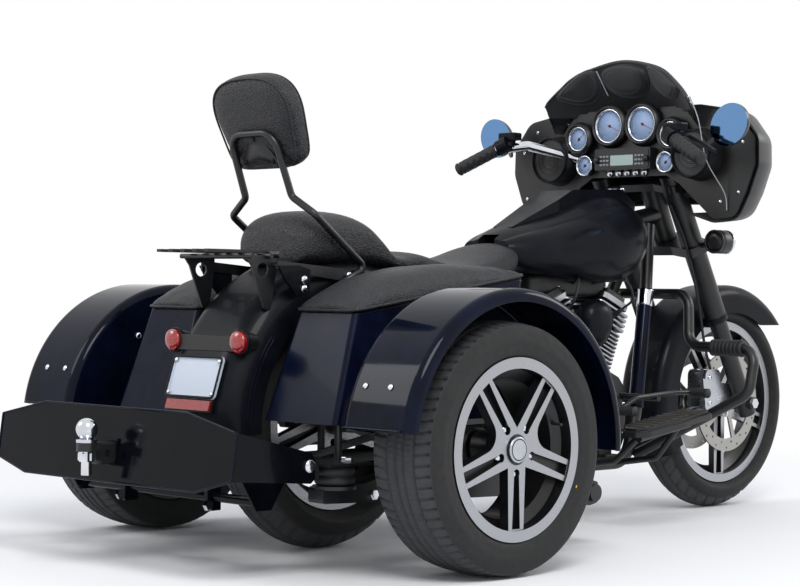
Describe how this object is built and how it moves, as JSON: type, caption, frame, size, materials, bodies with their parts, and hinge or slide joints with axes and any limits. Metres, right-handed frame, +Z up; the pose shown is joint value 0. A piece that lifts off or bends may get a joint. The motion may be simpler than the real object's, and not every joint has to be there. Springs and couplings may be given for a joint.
{
  "type": "motorized trike",
  "caption": "Touring motorcycle on outrigger wheels: bat-winged fairing, v-twin, two-up seat with backrest, saddlebags, fendered outer wheels and a towing bumper.",
  "frame": {"origin": "middle of the length and width, on the floor", "axes": "+X forward, +Y to the rider's left, +Z up"},
  "size_m": [2.674, 1.432, 1.322],
  "materials": {
    "gloss_black_paint": "deep gloss",
    "satin_black_paint": "satin",
    "black_powdercoat": "semi gloss",
    "black_engine": "wrinkle black with bright fin edges",
    "polished_chrome": "polished",
    "machined_alloy": "machined face, black pockets",
    "disc_steel": "brushed",
    "car_tyre": "matt",
    "black_leather": "embossed, satin",
    "black_vinyl": "satin vinyl",
    "black_plastic": "moulded",
    "red_lens": "clear red",
    "blank_plate": "painted, blank",
    "tinted_screen": "smoked",
    "lamp_glass": "clear",
    "mirror_glass": "mirror in a black shell",
    "black_rubber": "matt"
  },
  "bodies": {
    "chassis": {"frame": "black_powdercoat", "swingarm": "black_powdercoat", "crankcase": "black_engine", "engine_covers": "black_engine", "cylinders": "black_engine", "cylinder_heads": "black_engine", "pushrod_tubes": "polished_chrome", "horn_cover": "satin_black_paint", "air_cleaner": "satin_black_paint", "exhaust": "polished_chrome", "fuel_tank": "satin_black_paint", "tank_console": "satin_black_paint", "seat": "black_leather", "rear_fender": "gloss_black_paint", "tail_lamp_bar": "black_powdercoat", "tail_lenses": "red_lens", "licence_plate": "blank_plate", "luggage_rack": "black_powdercoat", "sissy_bar": "black_powdercoat", "backrest_pad": "black_leather", "saddlebags": "gloss_black_paint", "outer_fender_right": "gloss_black_paint", "outer_fender_left": "gloss_black_paint", "kit_subframe": "black_powdercoat", "trailing_arms": "black_powdercoat", "air_springs": "black_rubber", "hitch_bumper": "gloss_black_paint", "ball_mount": "black_powdercoat", "tow_ball": "polished_chrome", "floorboards": "black_powdercoat", "foot_controls": "black_powdercoat", "engine_guard": "black_powdercoat", "highway_pegs": "black_rubber"},
    "steering": {"fork_legs": "black_powdercoat", "fork_trees": "black_powdercoat", "handlebar": "polished_chrome", "hand_grips": "black_rubber", "hand_controls": "polished_chrome", "front_fender": "satin_black_paint", "brake_calipers": "machined_alloy", "fairing_shell": "gloss_black_paint", "fairing_dash": "black_plastic", "headlamp": "lamp_glass", "windshield": "tinted_screen", "windshield_pouches": "black_vinyl", "mirrors": "mirror_glass", "turn_signals": "black_plastic"},
    "outer_wheel_right": {"outer_tyre_right": "car_tyre", "outer_rim_right": "machined_alloy"},
    "outer_wheel_left": {"outer_tyre_left": "car_tyre", "outer_rim_left": "machined_alloy"},
    "rear_wheel": {"rear_tyre": "car_tyre", "rear_rim": "machined_alloy"},
    "front_wheel": {"front_tyre": "car_tyre", "front_rim": "machined_alloy", "brake_discs": "disc_steel"},
    "bag_lid_right_body": {"bag_lid_right": "black_vinyl"},
    "bag_lid_left_body": {"bag_lid_left": "black_vinyl"}
  },
  "joints": [
    {"name": "steering_head", "type": "hinge", "parent": "chassis", "child": "steering", "pos_m": [0.75292, 0, 0.89], "axis": [-0.4384, 0, 0.8988], "range_deg": [-28, 28]},
    {"name": "front_wheel_spin", "type": "hinge", "parent": "steering", "child": "front_wheel", "pos_m": [1.017, 0, 0.32], "axis": [0, 1, 0], "continuous": true},
    {"name": "rear_wheel_spin", "type": "hinge", "parent": "chassis", "child": "rear_wheel", "pos_m": [-0.597, 0, 0.318], "axis": [0, 1, 0], "continuous": true},
    {"name": "outer_wheel_right_spin", "type": "hinge", "parent": "chassis", "child": "outer_wheel_right", "pos_m": [-0.641, -0.615, 0.29], "axis": [0, 1, 0], "continuous": true},
    {"name": "outer_wheel_left_spin", "type": "hinge", "parent": "chassis", "child": "outer_wheel_left", "pos_m": [-0.641, 0.615, 0.29], "axis": [0, 1, 0], "continuous": true},
    {"name": "bag_lid_right_hinge", "type": "hinge", "parent": "chassis", "child": "bag_lid_right_body", "pos_m": [-0.55406, -0.387, 0.6354], "axis": [0.988, 0, 0.1544], "range_deg": [0, 80]},
    {"name": "bag_lid_left_hinge", "type": "hinge", "parent": "chassis", "child": "bag_lid_left_body", "pos_m": [-0.55406, 0.387, 0.6354], "axis": [-0.988, 0, -0.1544], "range_deg": [0, 80]}
  ]
}
